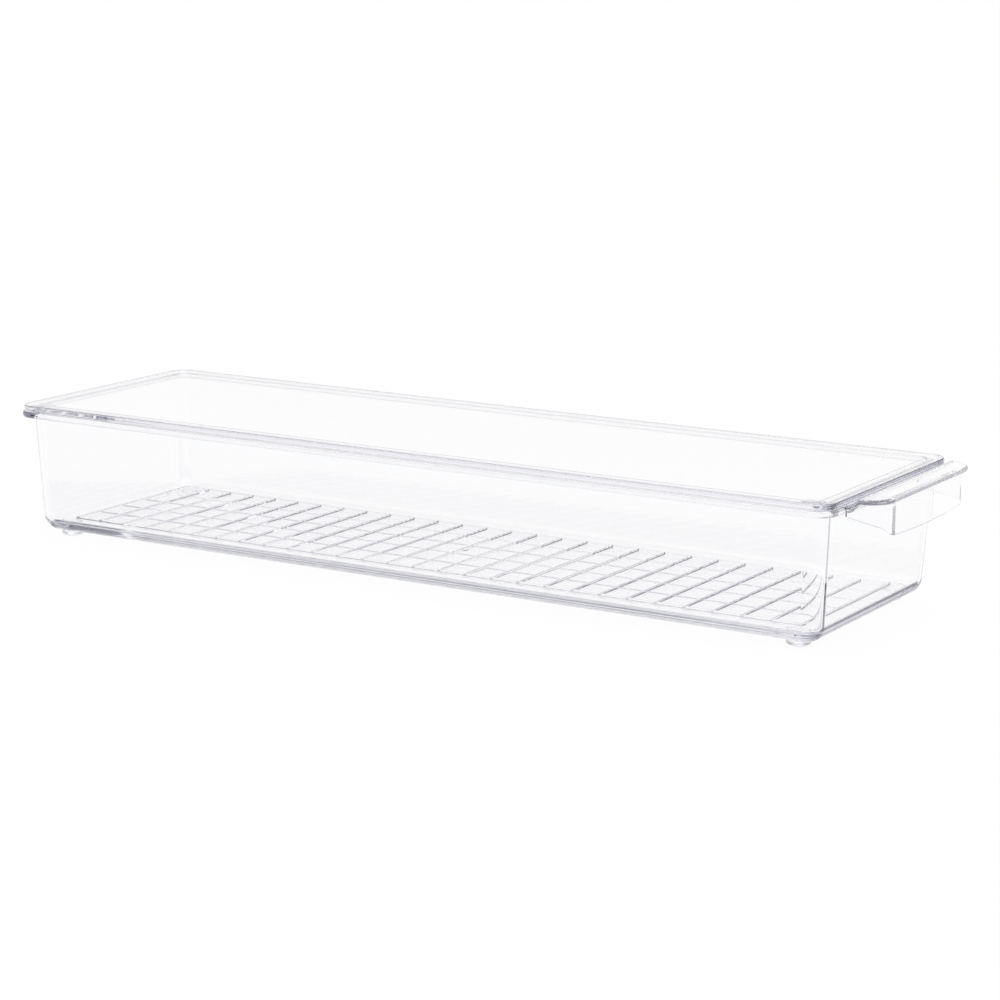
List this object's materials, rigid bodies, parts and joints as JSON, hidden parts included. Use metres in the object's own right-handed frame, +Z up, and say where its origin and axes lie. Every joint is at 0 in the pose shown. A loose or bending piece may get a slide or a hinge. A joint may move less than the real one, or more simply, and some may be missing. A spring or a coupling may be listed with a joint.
{
  "type": "lidded organizer tray",
  "caption": "Long narrow clear tray with a flat lift-off lid, a pull grip over a hollow skirt at one short end, a ribbed floor and soft corner feet.",
  "frame": {"origin": "on the ground under the middle of the whole: z = 0 is the plane that the four feet stand on", "axes": "+X out of the short end that carries the grip, +Z up, +Y to the left of someone who looks along +X; the part is the same on both sides of y = 0"},
  "size_m": [0.3582, 0.1054, 0.0526],
  "materials": {
    "clear_tray": "clear moulded plastic, polished",
    "clear_lid": "clear moulded plastic, polished",
    "clear_foot": "clear soft pad, smooth"
  },
  "bodies": {
    "tray_body": {"tray": "clear_tray", "foot_rear_right": "clear_foot", "foot_rear_left": "clear_foot", "foot_front_right": "clear_foot", "foot_front_left": "clear_foot"},
    "lid_body": {"lid": "clear_lid"}
  },
  "joints": [
    {"name": "lid_lift", "type": "slide", "parent": "tray_body", "child": "lid_body", "axis": [0, 0, 1], "range_m": [0, 0.06]}
  ]
}
